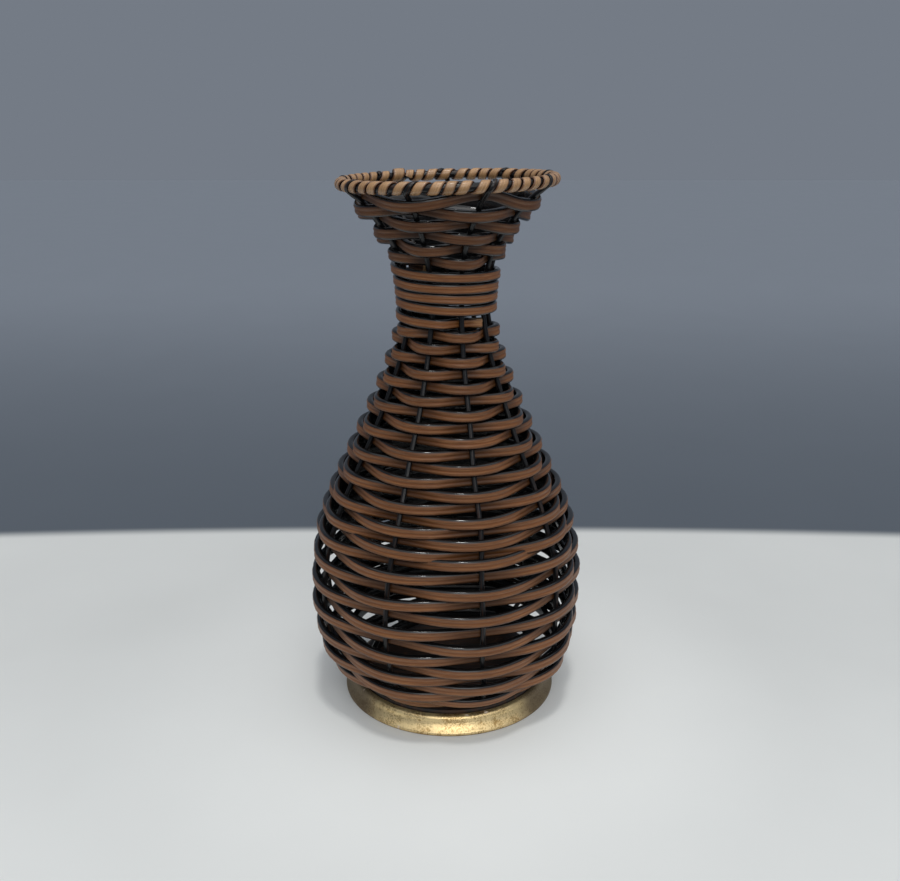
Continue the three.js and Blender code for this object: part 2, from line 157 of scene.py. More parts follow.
# Places where the foot's gold has chipped off, and how far each chip reaches.
CHIPS = [
    ((-0.0236, -0.0463, 0.0012), 1.3 * MM),
    ((-0.0407, -0.0245, FOOT_HIGH[2] - 0.0015), 1.7 * MM),
]


# Settings


def length(label, text, millimetres):
    """A setting that is a length, given in millimetres."""
    return FloatProperty(name=label, description=text, default=millimetres * MM, unit="LENGTH")


class VaseShape(PropertyGroup):
    """Sizes of the vase as a whole."""

    belly_radius: length("Belly radius", "Radius of the stakes' middle line at the belly", 63.3)
    belly_height: length("Belly height", "Height of the widest place above the table", 58)
    waist_radius: length("Waist radius", "Radius of the stakes' middle line at the neck", 19.2)
    waist_height: length("Waist height", "Height of the narrowest place above the table", 194)
    seat_radius: length("Seat radius", "Radius of the circle on which the stakes stand", 43)
    mouth_tilt: FloatProperty(
        name="Mouth tilt",
        description="How far the mouth has settled down to the left",
        default=math.radians(1.3),
        subtype="ANGLE",
    )
    belly_lean: FloatProperty(
        name="Belly lean",
        description="How far round the stakes have leant back at the belly",
        default=math.radians(-4.5),
        subtype="ANGLE",
    )


class StakeSizes(PropertyGroup):
    """Sizes of the upright rods."""

    diameter: length("Diameter", "Diameter of a stake", 2.35)
    tip_width: length("Tip width", "Width of a stake's pressed tip, folded over the hoop", 2.1)
    tip_thickness: length("Tip thickness", "Thickness of a stake's pressed tip", 1.1)


class StrandSizes(PropertyGroup):
    """Sizes of the flat strand and of its rows."""

    width: length("Width", "Width of the flat strand", 5.4)
    thickness: length("Thickness", "Thickness of the strand", 3.2)
    slope_share: FloatProperty(
        name="Slope share",
        description="Share of the wall's slope that the strand's face takes",
        default=0.2,
        min=0,
        max=1,
    )
    neck_width: length("Neck width", "Width of the neck's strand", 4.8)
    neck_thickness: length("Neck thickness", "Thickness of the neck's strand", 2.7)
    body_rows: IntProperty(
        name="Body rows", description="Turns from the lowest to the highest body row", default=31
    )
    body_low: length("Lowest row", "Height of the lowest row", 15.3)
    body_high: length("Highest body row", "Height of the highest body row", 184.2)
    binding_low: length("Binding's lowest turn", "Height of the lowest turn", 189.6)
    binding_high: length("Binding's highest turn", "Height of the highest turn", 211.9)
    mouth_low: length("Mouth's lowest row", "Height of the lowest row in the mouth", 217.3)
    mouth_high: length("Mouth's highest row", "Height of the highest row in the mouth", 244.2)


class RimSizes(PropertyGroup):
    """Sizes of the strip that is lashed round the rim hoop."""

    strip_width: length("Strip width", "Width of the strip", 4.2)
    strip_thickness: length("Strip thickness", "Thickness of the strip at its middle", 0.8)
    lashes_per_stake: IntProperty(
        name="Lashes for each stake", description="Turns between two stakes' tips", default=5
    )


class FootSizes(PropertyGroup):
    """Sizes of the turned foot."""

    flank_radius: length("Flank radius", "Radius between the brim and the round shoulder", 49.9)


def colour(label, text, values):
    """A colour setting, as red, green and blue in linear light."""
    return FloatVectorProperty(
        name=label, description=text, default=values, subtype="COLOR", size=3, min=0, max=1
    )


class Colours(PropertyGroup):
    """Colours of the materials, in linear light."""

    brown: colour("Brown", "The strand's face", (0.33, 0.14, 0.046))
    # Dark brown also paints the shade at the edges of the strand's face and of the lashed strip.
    brown_dark: colour("Dark brown", "Streaks in the strand's face", (0.115, 0.038, 0.011))
    brown_line: colour("Brown line", "The line along the strand's groove", (0.19, 0.058, 0.009))
    black: colour("Black", "The strand's edges and back", (0.005, 0.005, 0.0055))
    stake: colour("Stake", "The stakes and the hoop", (0.006, 0.006, 0.0065))
    tan: colour("Tan", "The lashed strip", (0.69, 0.41, 0.19))
    tan_dark: colour("Dark tan", "Grain in the lashed strip", (0.27, 0.13, 0.05))
    gold: colour("Gold", "The foot's gold paint", (0.98, 0.755, 0.39))
    gold_dark: colour("Dark gold", "Worn places of the gold paint", (0.48, 0.3, 0.11))
    # Painted shade and reflection for the foot's sides and back, which turn dark away from the
    # front.
    side_shade: colour("Tarnish", "The foot's dull sides and back", (0.11, 0.078, 0.045))
    chipped: colour("Chipped", "Primer where the gold has chipped off", (0.92, 0.74, 0.58))
    board: colour("Board", "The stained base board", (0.018, 0.016, 0.015))
    floor: colour("Floor", "The table top", (0.745, 0.76, 0.745))
    far_floor: colour("Far floor", "The floor beyond the table top", (0.1, 0.12, 0.146))
    distance: colour("Distance", "The floor far away", (0.2145, 0.2435, 0.2875))


class VaseSettings(PropertyGroup):
    """All that a user would change."""

    shape: PointerProperty(type=VaseShape)
    stakes: PointerProperty(type=StakeSizes)
    strand: PointerProperty(type=StrandSizes)
    rim: PointerProperty(type=RimSizes)
    foot: PointerProperty(type=FootSizes)
    colours: PointerProperty(type=Colours)


# Shapes


def smooth(pairs):
    """A smooth curve through (place, value) pairs that never swings past them."""
    places = np.array([place for place, _ in pairs], float)
    values = np.array([value for _, value in pairs], float)
    grades = np.diff(values) / np.diff(places)
    before = np.insert(grades, 0, grades[0])
    after = np.append(grades, grades[-1])
    turns = before * after <= 0
    slopes = np.where(turns, 0, 2 * before * after / np.where(turns, 1, before + after))

    def curve(x):
        x = np.asarray(x, float)
        i = np.clip(np.searchsorted(places, x, side="right") - 1, 0, len(places) - 2)
        span = places[i + 1] - places[i]
        u = np.clip((x - places[i]) / span, 0, 1)
        v = 1 - u
        inside = (
            values[i] * (1 + 2 * u) * v * v
            + values[i + 1] * (3 - 2 * u) * u * u
            + slopes[i] * span * u * v * v
            - slopes[i + 1] * span * u * u * v
        )
        below = np.minimum(x - places[0], 0) * slopes[0]
        above = np.maximum(x - places[-1], 0) * slopes[-1]
        return inside + below + above

    return curve


def mirrored(half):
    """The left half of a section from its right half, in the opposite order."""
    return [(-u, v) for u, v in reversed(half)]


STRAND_SECTION = FACE_HALF + [GROOVE] + mirrored(FACE_HALF) + mirrored(BACK_HALF) + BACK_HALF
STRIP_SECTION = STRIP_HALF + [STRIP_TOP] + mirrored(STRIP_HALF) + STRIP_BACK


def between(start, shares, end):
    """Pairs of shares turned into pairs of real places between two ends."""
    return [
        (start[0] + p * (end[0] - start[0]), start[1] + q * (end[1] - start[1])) for p, q in shares
    ]


def wander(places, seed, reach, size):
    """A smooth seeded wander of about a size, which turns about once for each reach."""
    chance = np.random.default_rng(seed)
    total = np.zeros_like(np.asarray(places, float))
    waves = 5
    for _ in range(waves):
        pace = 2 * math.pi * chance.uniform(0.4, 1.6) / reach
        total += np.sin(np.asarray(places) * pace + chance.uniform(0, 2 * math.pi))
    return size * total / (waves / 2)


def eased(x, start, end):
    """0 before start, 1 after end, and a smooth step between them."""
    u = np.clip((np.asarray(x, float) - start) / (end - start), 0, 1)
    return u * u * (3 - 2 * u)


def around(angle):
    """Unit vectors from the axis out, at angles in degrees from the front."""
    turn = np.radians(np.asarray(angle, float))
    return np.stack([np.sin(turn), -np.cos(turn), np.zeros_like(turn)], axis=-1)


class Form:
    """The surface that the stakes follow, worked out from the settings."""

    def __init__(self, settings):
        shape, stakes = settings.shape, settings.stakes
        self.hoop_radius = (HOOP_HIGH[2] - HOOP_LOW[2]) / 2
        self.rim_height = (HOOP_HIGH[2] + HOOP_LOW[2]) / 2
        self.rim_radius = HOOP_HIGH[0] - self.hoop_radius
        self.stake_foot = BOARD_LOW[2] + 0.3 * MM
        seat = (BOARD_HIGH[2], shape.seat_radius)
        belly = (shape.belly_height, shape.belly_radius)
        waist = (shape.waist_height, shape.waist_radius)
        hoop = (self.rim_height, self.rim_radius)
        shoulder = between(
            (shape.belly_height, shape.waist_radius),
            SHOULDER_SHARES,
            (shape.waist_height, shape.belly_radius),
        )
        line = [(BOARD_LOW[2], shape.seat_radius), seat]
        line += between(seat, BOWL_SHARES, belly) + [belly]
        line += shoulder + [waist] + between(waist, MOUTH_SHARES, hoop)
        # From the last of those places a stake runs straight until it touches the circle that its
        # tip bends round, outside the hoop.
        self.tip_bend = self.hoop_radius + stakes.tip_thickness / 2 + CLEARANCE
        up, out = hoop[0] - line[-1][0], hoop[1] - line[-1][1]
        reach = math.hypot(up, out)
        climb = math.atan2(up, out) - math.asin(self.tip_bend / reach)
        straight = math.sqrt(reach**2 - self.tip_bend**2)
        self.tip_touch = (
            line[-1][0] + straight * math.sin(climb),
            line[-1][1] + straight * math.cos(climb),
        )
        self.touch_direction = math.degrees(
            math.atan2(self.tip_touch[0] - self.rim_height, self.tip_touch[1] - self.rim_radius)
        )
        self.radius_at = smooth(line + [self.tip_touch])
        lean = math.degrees(shape.belly_lean)
        self.lean_at = smooth([(BOARD_HIGH[2], -3), (belly[0], lean), (waist[0], 0), (hoop[0], 0)])
        self.tilt = math.tan(shape.mouth_tilt)
        self.tilt_start = shape.waist_height + 6 * MM
        # The vase isn't quite straight: how far its middle lies to the right at a height.
        self.sway_at = smooth(
            [
                (BOARD_HIGH[2], 0),
                (BOARD_HIGH[2] + 10 * MM, -0.4 * MM),
                (belly[0], -2.0 * MM),
                (130 * MM, -1.9 * MM),
                (waist[0], -1.2 * MM),
                (225 * MM, -1.5 * MM),
                (hoop[0], -0.7 * MM),
            ]
        )

    def place(self, angle, height, offset):
        """Points at angles and heights, moved off the surface along its normals, and those."""
        step = 0.3 * MM
        grade = (self.radius_at(height + step) - self.radius_at(height - step)) / (2 * step)
        outs = around(angle)
        points = outs * self.radius_at(height)[..., None]
        points[..., 2] = height
        outs[..., 2] = -grade
        outs /= np.linalg.norm(outs, axis=-1, keepdims=True)
        return points + outs * np.asarray(offset)[..., None], outs

    def round_hoop(self, angle, direction, distance):
        """Points round the hoop. Direction goes round its section: 0 is out and 90 is up."""
        turn = np.radians(np.asarray(direction, float))
        outs = around(angle) * np.cos(turn)[..., None]
        outs[..., 2] = np.sin(turn)
        points = around(angle) * self.rim_radius
        points[..., 2] = self.rim_height
        return points + outs * np.asarray(distance)[..., None], outs

    def settle(self, points):
        """The vase sways a little, and its mouth has settled down to the left."""
        heights = np.maximum(points[..., 2], BOARD_HIGH[2])
        points[..., 0] += self.sway_at(heights)
        share = eased(points[..., 2], self.tilt_start, self.rim_height)
        points[..., 2] += self.tilt * points[..., 0] * share
        return points


def linked(name, data):
    """A new object in the scene from its mesh, lamp or camera."""
    item = bpy.data.objects.new(name, data)
    bpy.context.scene.collection.objects.link(item)
    return item


def finished_mesh(name, corners, faces, values):
    """An object from corners and faces, smooth, with values of each corner as attributes."""
    mesh = bpy.data.meshes.new(name)
    mesh.from_pydata(np.asarray(corners).tolist(), [], faces)
    for key, numbers in values.items():
        layer = mesh.attributes.new(key, "FLOAT", "POINT")
        layer.data.foreach_set("value", np.asarray(numbers, np.float32))
    mesh.shade_smooth()
    mesh.update()
    return linked(name, mesh)


def tube(form, middles, corners, section):
    """Corners, faces and values of a tube with closed ends, settled as the vase is.

    corners come ring by ring, middles are the rings' own places, and section says where the
    corners of a ring lie, as shares of its half width and thickness.
    """
    rings, sides = len(middles), len(section)
    corners = corners.reshape(-1, 3)
    faces = []
    for i in range(rings - 1):
        for k in range(sides):
            a = i * sides + k
            b = i * sides + (k + 1) % sides
            faces.append((a, b, b + sides, a + sides))
    # Each end is closed by a face with its own corners, so that its edge stays sharp.
    first = len(corners)
    faces.append(tuple(first + k for k in reversed(range(sides))))
    faces.append(tuple(first + sides + k for k in range(sides)))
    steps = np.linalg.norm(np.diff(middles, axis=0), axis=1)
    along = np.repeat(np.append(0, np.cumsum(steps)), sides)
    across, face = np.tile(section, (rings + 2, 1)).T
    values = {
        "along": np.concatenate([along, along[:sides], along[-sides:]]),
        "across": across,
        "face": face,
        "cut": np.concatenate([np.zeros(first), np.ones(2 * sides)]),
    }
    corners = np.concatenate([corners, corners[:sides], corners[-sides:]])
    return form.settle(corners), faces, values


def swept(form, points, outs, halves, section, roll=0):
    """Corners, faces and values of a closed tube through points.

    outs are the directions that the section's thickness takes, halves the section's half width
    and half thickness at each point, and section its corners as shares of them.
    """
    section = np.array(section, float)
    ahead = np.empty_like(points)
    ahead[1:-1] = points[2:] - points[:-2]
    ahead[0] = points[1] - points[0]
    ahead[-1] = points[-1] - points[-2]
    ahead /= np.linalg.norm(ahead, axis=1, keepdims=True)
    thick = outs - ahead * np.sum(outs * ahead, axis=1, keepdims=True)
    thick /= np.linalg.norm(thick, axis=1, keepdims=True)
    wide = np.cross(thick, ahead)
    cos, sin = np.cos(roll) * np.ones(len(points)), np.sin(roll) * np.ones(len(points))
    turned = thick * cos[:, None] + wide * sin[:, None]
    wide = wide * cos[:, None] - thick * sin[:, None]
    halves = np.broadcast_to(np.asarray(halves, float), (len(points), 2))
    u = section[None, :, 0] * halves[:, :1]
    v = section[None, :, 1] * halves[:, 1:]
    corners = points[:, None] + wide[:, None] * u[..., None] + turned[:, None] * v[..., None]
    return tube(form, points, corners, section)


def round_section(sides, groove):
    """A round section with two shallow grooves in its outer side, as deep as a share says."""
    turn = np.arange(sides) * 2 * math.pi / sides
    from_out = np.abs((turn - math.pi / 2 + math.pi) % (2 * math.pi) - math.pi)
    groove_place, groove_width = 0.5, 0.22
    radius = 1 - groove * np.exp(-(((from_out - groove_place) / groove_width) ** 2))
    return list(zip(np.cos(turn) * radius, np.sin(turn) * radius))


# Materials


class Wire:
    """A node's output. Sums and products of wires and numbers add their Math nodes."""

    def __init__(self, finish, socket):
        self.finish = finish
        self.socket = socket

    def math(self, operation, *values):
        return self.finish.node("ShaderNodeMath", {"operation": operation}, dict(enumerate(values)))

    def __add__(self, other):
        return self.math("ADD", self, other)

    def __sub__(self, other):
        return self.math("SUBTRACT", self, other)

    def __mul__(self, other):
        return self.math("MULTIPLY", self, other)

    def __radd__(self, other):
        return self.math("ADD", other, self)

    def __rsub__(self, other):
        return self.math("SUBTRACT", other, self)

    def __rmul__(self, other):
        return self.math("MULTIPLY", other, self)

    def __abs__(self):
        return self.math("ABSOLUTE", self)

    def step(self, start, end):
        """0 before start, 1 after end, and a smooth step between them."""
        ends = (0.0, 1.0) if start < end else (1.0, 0.0)
        sockets = {0: self, 1: min(start, end), 2: max(start, end), 3: ends[0], 4: ends[1]}
        return self.finish.node(
            "ShaderNodeMapRange", {"interpolation_type": "SMOOTHSTEP"}, sockets
        )


class Finish:
    """A material whose nodes are added one by one."""

    def __init__(self, name, **constants):
        self.material = bpy.data.materials.new(name)
        self.material.use_nodes = True
        self.tree = self.material.node_tree
        self.shader = self.tree.nodes["Principled BSDF"]
        self.set(**constants)

    def node(self, kind, settings=None, sockets=None, output=0):
        """A new node, with its settings made first and then its sockets, as one of its outputs."""
        node = self.tree.nodes.new(kind)
        for key, value in (settings or {}).items():
            setattr(node, key, value)
        for key, value in (sockets or {}).items():
            self.feed(node.inputs[key], value)
        return Wire(self, node.outputs[output])

    def feed(self, socket, value):
        if isinstance(value, Wire):
            self.tree.links.new(value.socket, socket)
        elif socket.type == "RGBA":
            socket.default_value = (*value[:3], 1)
        else:
            socket.default_value = value

    def set(self, **values):
        """Sets or links the shader's sockets, named with underscores for spaces."""
        for key, value in values.items():
            self.feed(self.shader.inputs[key.replace("_", " ")], value)

    def attribute(self, name):
        return self.node("ShaderNodeAttribute", {"attribute_name": name}, output=2)

    def surface(self):
        """How far along a piece a point lies, and its shares across it and up its face."""
        return [self.attribute(key) for key in ("along", "across", "face")]

    def vector(self, x, y, z):
        return self.node("ShaderNodeCombineXYZ", None, {0: x, 1: y, 2: z})

    def object_point(self):
        return self.node("ShaderNodeTexCoord", output=3)

    def part(self, point, index):
        """The x, y or z of a point, by its index."""
        return self.node("ShaderNodeSeparateXYZ", None, {0: point}, output=index)

    def distance(self, point):
        """How far a point lies from the middle of the table top."""
        return self.node("ShaderNodeVectorMath", {"operation": "LENGTH"}, {0: point}, output=1)

    def stretched(self, point, scale):
        return self.node("ShaderNodeMapping", None, {"Vector": point, "Scale": scale})

    def noise(self, point, scale, detail=2.0, roughness=0.5):
        """Noise of about 0 to 1 at a point."""
        sockets = {"Vector": point, "Scale": scale, "Detail": detail, "Roughness": roughness}
        return self.node("ShaderNodeTexNoise", None, sockets)

    def streaks(self, along, across, face, detail=2.0, roughness=0.5):
        """Noise at a point of a strand or strip, drawn out by how each measure is scaled."""
        return self.noise(self.vector(along, across, face), 1.0, detail, roughness)

    def specks(self, along, across, layer):
        """Distance to the nearest of many places scattered over a strand or strip."""
        point = self.vector(along, across, layer)
        return self.node("ShaderNodeTexVoronoi", None, {"Vector": point, "Scale": 1.0})

    def mix(self, share, a, b):
        """Colour a, and by a share colour b."""
        return self.node("ShaderNodeMix", {"data_type": "RGBA"}, {0: share, 6: a, 7: b}, output=2)

    def dim(self, tint, level):
        """A colour multiplied by a level."""
        settings = {"data_type": "RGBA", "blend_type": "MULTIPLY"}
        sockets = {0: 1.0, 6: tint, 7: self.vector(level, level, level)}
        return self.node("ShaderNodeMix", settings, sockets, output=2)

    def bumps(self, height, distance, strength):
        """The shader's normal from a height."""
        sockets = {"Height": height, "Distance": distance, "Strength": strength}
        self.set(Normal=self.node("ShaderNodeBump", None, sockets))


def strand_finish(name, colours, face_level, edge):
    """Brown on the face up to an edge share of the half width, and glossy black round it. The face
    carries painted shade towards its edges and where the strand lies deep in the weave, and
    face_level sets its brightness, which paints the neck's copy lighter and the mouth's copy darker
    for how the light falls on them.
    """
    finish = Finish(name, Specular_IOR_Level=0.5)
    along, across, face = finish.surface()
    cut = finish.attribute("cut")
    off = abs(across)
    fibres = finish.streaks(along * 70, across * 9, face, 3.0, 0.6)
    threads = finish.streaks(along * 220, across * 26, face)
    drift = finish.streaks(along * 24, across * 0.5, 3.0)
    specks = finish.specks(along * 900, across * 6, 1.0)
    brown = finish.mix((fibres + threads * 0.5).step(0.5, 0.95), colours.brown_dark, colours.brown)
    # The groove's line is darker and more saturated than the face round it: partly the strand's own
    # tone, partly painted highlight, since the lighter face beside it stands in for the sheen that
    # the ridges catch.
    groove = (off + (threads - 0.5) * 0.05).step(0.26, 0.06)
    brown = finish.mix(groove * 0.85, brown, colours.brown_line)
    # Painted shade: the face darkens into dark brown towards its rounded edges.
    brown = finish.mix(off.step(edge - 0.34, edge + 0.02) * 0.85, brown, colours.brown_dark)
    # Painted shade: the face darkens where the strand passes deep in the weave, behind the stakes.
    shaded = 1 - finish.attribute("depth") * 0.5
    brown = finish.dim(brown, (0.7 + drift * 0.6) * shaded * face_level)
    brown = finish.mix(specks.step(0.16, 0.06) * 0.5, brown, colours.black)
    shade = (off + (threads - 0.5) * 0.07).step(edge + 0.06, edge - 0.06) * face.step(0.3, 0.6)
    tint = finish.mix(shade, colours.black, brown)
    tint = finish.mix(cut * (threads + fibres).step(0.9, 1.25), tint, colours.tan)
    finish.set(Base_Color=tint)
    finish.set(Roughness=0.12 + shade * (0.24 + fibres * 0.14) + threads * 0.04)
    finish.bumps(fibres * 0.6 + threads * (0.2 + shade * 0.45), 0.05 * MM, 0.8)
    return finish.material


def stake_finish(colours):
    """Glossy black, with fine threads along the rod."""
    finish = Finish("black_rod", Specular_IOR_Level=0.4)
    along, across, face = finish.surface()
    threads = finish.streaks(along * 160, across * 5, face * 5, 3.0)
    drift = finish.streaks(along * 30, across, face)
    dusty = finish.mix(drift.step(0.5, 0.75) * 0.25, colours.stake, colours.brown_dark)
    finish.set(Base_Color=finish.dim(dusty, 0.7 + threads * 0.6))
    finish.set(Roughness=0.18 + threads * 0.12 + drift * 0.08)
    finish.bumps(threads, 0.05 * MM, 0.7)
    return finish.material


def strip_finish(colours):
    """Pale tan with fine grain along the strip, dark specks, a soft gloss and painted shade along
    its edges.
    """
    finish = Finish("tan_strip", Specular_IOR_Level=0.6, Coat_Weight=0.35, Coat_Roughness=0.22)
    along, across, face = finish.surface()
    grain = finish.streaks(along * 90, across * 8, face, 3.0, 0.6)
    threads = finish.streaks(along * 260, across * 24, face)
    drift = finish.streaks(along * 40, 0.0, 7.0)
    specks = finish.specks(along * 700, across * 4, 2.0)
    tint = finish.mix((grain + threads * 0.4).step(0.4, 1.0), colours.tan_dark, colours.tan)
    tint = finish.dim(tint, 0.55 + drift * 0.9)
    tint = finish.mix(specks.step(0.16, 0.06) * 0.75, tint, colours.brown_dark)
    # Painted shade along the strip's edges, where one lash meets the next.
    edge = (abs(across) + (threads - 0.5) * 0.2).step(0.62, 0.95)
    tint = finish.mix(edge * 0.88, tint, colours.brown_dark)
    finish.set(Base_Color=tint)
    finish.set(Roughness=0.26 + grain * 0.16)
    finish.bumps(grain * 0.7 + threads * 0.5, 0.09 * MM, 0.9)
    return finish.material


def gold_finish(colours):
    """Gold paint over a turned foot: a metallic grain, worn darker places, chipped edges, and
    painted shade and reflection that darken its sides and back.
    """
    finish = Finish("gold_paint", Specular_IOR_Level=0.5)
    point = finish.object_point()
    x, y, height = (finish.part(point, index) for index in range(3))
    grain = finish.noise(point, 1300.0, 2.0, 0.7)
    clouds = finish.noise(point, 170.0, 3.0, 0.6)
    patches = finish.noise(point, 55.0, 3.0, 0.6)
    worn = (clouds * 0.5 + grain * 0.65).step(0.42, 0.62)
    tint = finish.mix(worn, colours.gold_dark, colours.gold)
    # Painted shade and reflection: away from the front, the sides and back turn to the dark side
    # colour, less metallic and rougher.
    darkened = (abs(x) + y * 0.35 + (patches - 0.5) * 0.02).step(10 * MM, 31 * MM) * 0.9
    tint = finish.mix(darkened, tint, finish.dim(colours.side_shade, 0.5 + grain))
    high_edge = (height - 7.0 * MM).step(0.0, 1.3 * MM)
    low_edge = (height - 1.4 * MM).step(0.0, -1.2 * MM)
    chips = (patches * 0.55 + clouds * 0.45 + (high_edge + low_edge) * 0.09).step(0.7, 0.725)
    for place, size in CHIPS:
        away = finish.node(
            "ShaderNodeVectorMath", {"operation": "DISTANCE"}, {0: point, 1: place}, output=1
        )
        chip = (away + (clouds - 0.5) * 5 * MM).step(size, size * 0.7)
        chips = chips.math("MAXIMUM", chips, chip)
    tint = finish.mix(chips, tint, colours.chipped)
    tint = finish.mix(height.step(0.9 * MM, 0.3 * MM) * 0.7, tint, colours.brown_dark)
    finish.set(Base_Color=tint)
    finish.set(Metallic=(1 - chips) * (0.9 - darkened * 0.5))
    finish.set(Roughness=0.24 + grain * 0.14 + chips * 0.3 + darkened * 0.2)
    finish.bumps(grain * 0.8 + clouds * 0.9 - chips * 0.6, 0.22 * MM, 0.85)
    return finish.material


def board_finish(colours):
    """Black stained board with a faint grain across it."""
    finish = Finish("stained_wood", Specular_IOR_Level=0.45)
    point = finish.object_point()
    grain = finish.noise(finish.stretched(point, (40.0, 700.0, 120.0)), 1.0, 4.0, 0.6)
    dust = finish.noise(point, 260.0, 3.0)
    tint = finish.mix(grain.step(0.4, 0.75) * 0.5, colours.board, colours.brown_dark)
    tint = finish.mix(dust.step(0.58, 0.8) * 0.25, tint, colours.brown)
    finish.set(Base_Color=tint)
    finish.set(Roughness=0.42 + grain * 0.25)
    finish.bumps(grain, 0.1 * MM, 0.7)
    return finish.material


def floor_finish(colours):
    """A pale table top, a little mottled, that grows darker far from the vase. It carries painted
    light: brighter towards the front, and in a pool round the vase that lifts the vase's shadow.
    """
    finish = Finish("table_top", Specular_IOR_Level=0.3)
    point = finish.object_point()
    far = finish.distance(finish.stretched(point, (0.2, 1.0, 1.0)))
    near, ahead = finish.distance(point), finish.part(point, 1)
    clouds = finish.noise(point, 14.0, 4.0)
    beyond = finish.mix(far.step(0.1, 1.25), colours.far_floor, colours.distance)
    tint = finish.mix(far.step(0.186, 0.202), colours.floor, beyond)
    # Painted light: brighter towards the front of the table and in a pool round the vase, over its
    # shadow.
    level = 0.89 + clouds * 0.06 + ahead.step(0.08, -0.16) * 0.16 + near.step(0.19, 0.08) * 0.17
    finish.set(Base_Color=finish.dim(tint, level))
    finish.set(Roughness=0.55 + clouds * 0.1)
    return finish.material


# Pieces


def deselect():
    """Leaves nothing selected."""
    if bpy.context.mode != "OBJECT":
        bpy.ops.object.mode_set(mode="OBJECT")
    bpy.ops.object.select_all(action="DESELECT")


def added(name):
    """The object that was just added, named."""
    piece = bpy.context.object
    piece.name = piece.data.name = name
    return piece


def dress(piece, material, slot, *nodes):
    """Gives a finished piece its material, hangs it under the root body, and hides the nodes of the
    frame that it stands for.
    """
    piece.data.materials.clear()
    piece.data.materials.append(material)
    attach(piece, "root")
    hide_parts(*nodes)


def bend(start, corner, end, steps):
    """Places on a round bend from start to end, without start itself."""
    share = np.arange(1, steps + 1)[:, None] / steps
    start, corner, end = np.array(start), np.array(corner), np.array(end)
    places = start * (1 - share) ** 2 + corner * 2 * share * (1 - share) + end * share**2
    return [tuple(place) for place in places]


class VASE_OT_foot(Operator):
    """Turns the foot: a bead at its edge, a cove, a round shoulder and a recess for the board"""

    bl_idname = "vase.foot"
    bl_label = "Add Foot"

    def execute(self, context):
        settings = context.scene.woven_vase
        sizes = settings.foot
        radius, height = FOOT_HIGH[0], FOOT_HIGH[2]
        flank = sizes.flank_radius
        edge_round, lip = 0.6 * MM, 0.3 * MM
        under = radius - edge_round
        recess = BOARD_HIGH[0] + lip
        brim = (radius - 0.35 * MM, height * 0.2)
        waist = (flank, height * 0.68)
        profile = bend((under, 0), (radius, 0), (radius, edge_round), 4)
        profile += bend((radius, edge_round), (radius, height * 0.16), brim, 4)
        profile += bend(brim, (flank + 0.8 * MM, height * 0.42), waist, 10)
        profile += bend(waist, (flank - 0.4 * MM, height), (recess + lip, height), 12)
        profile += bend(profile[-1], (recess, height), (recess, height - lip), 3)
        profile += [(recess, BOARD_LOW[2] - lip)]
        deselect()
        bpy.ops.mesh.primitive_circle_add(vertices=128, radius=under, fill_type="NGON")
        piece = added("gold_foot")
        bpy.ops.object.mode_set(mode="EDIT")
        bpy.ops.mesh.select_all(action="SELECT")
        last = (under, 0)
        for place in profile:
            bpy.ops.mesh.extrude_region_move(
                TRANSFORM_OT_translate={"value": (0, 0, place[1] - last[1])}
            )
            grow = place[0] / last[0]
            bpy.ops.transform.resize(value=(grow, grow, 1), center_override=(0, 0, place[1]))
            last = place
        bpy.ops.mesh.inset(thickness=4 * MM)
        bpy.ops.mesh.select_all(action="SELECT")
        bpy.ops.mesh.normals_make_consistent(inside=False)
        bpy.ops.object.mode_set(mode="OBJECT")
        bpy.ops.object.shade_smooth_by_angle(angle=math.radians(40))
        dress(piece, gold_finish(settings.colours), "gold_foot", "foot")
        return {"FINISHED"}


class VASE_OT_board(Operator):
    """Adds the base board, rounded at its top edge and drilled with a seat for each stake"""

    bl_idname = "vase.board"
    bl_label = "Add Base Board"

    def execute(self, context):
        settings = context.scene.woven_vase
        depth = BOARD_HIGH[2] - BOARD_LOW[2]
        middle = (BOARD_HIGH[2] + BOARD_LOW[2]) / 2
        form = Form(settings)
        deselect()
        drills = []
        for index in range(STAKE_COUNT):
            angle = FIRST_STAKE_ANGLE + index * STAKE_SPACING + float(form.lean_at(BOARD_HIGH[2]))
            place = around(angle) * settings.shape.seat_radius
            bpy.ops.mesh.primitive_cylinder_add(
                vertices=24,
                radius=settings.stakes.diameter / 2 + 0.2 * MM,
                depth=depth * 2,
                location=(place[0], place[1], middle),
            )
            drills.append(bpy.context.object)
        for drill in drills:
            drill.select_set(True)
        bpy.ops.object.join()
        drill = bpy.context.object
        deselect()
        bpy.ops.mesh.primitive_cylinder_add(
            vertices=128, radius=BOARD_HIGH[0], depth=depth, location=(0, 0, middle)
        )
        piece = added("drilled_board")
        bpy.ops.object.transform_apply(location=True, rotation=True, scale=True)
        bpy.ops.object.mode_set(mode="EDIT")
        bpy.ops.mesh.select_all(action="DESELECT")
        bpy.ops.object.mode_set(mode="OBJECT")
        for edge in piece.data.edges:
            heights = [piece.data.vertices[i].co.z for i in edge.vertices]
            edge.select = min(heights) > middle
        bpy.ops.object.mode_set(mode="EDIT")
        bpy.ops.mesh.select_mode(type="EDGE")
        bpy.ops.mesh.bevel(offset=0.6 * MM, segments=3, affect="EDGES")
        bpy.ops.object.mode_set(mode="OBJECT")
        cut = piece.modifiers.new("seats", "BOOLEAN")
        cut.object = drill
        cut.operation = "DIFFERENCE"
        bpy.ops.object.modifier_apply(modifier=cut.name)
        bpy.data.objects.remove(drill)
        bpy.ops.object.shade_smooth_by_angle(angle=math.radians(35))
        dress(piece, board_finish(settings.colours), "stained_board", "base_board")
        return {"FINISHED"}


def lash_angle(lashes, lashes_per_stake):
    """The angle of a lash, or of a gap between lashes, so many lashes past a stake."""
    wave = lashes / lashes_per_stake * 2 * math.pi
    return lashes * STAKE_SPACING / lashes_per_stake + LASH_PARTING * np.sin(wave)


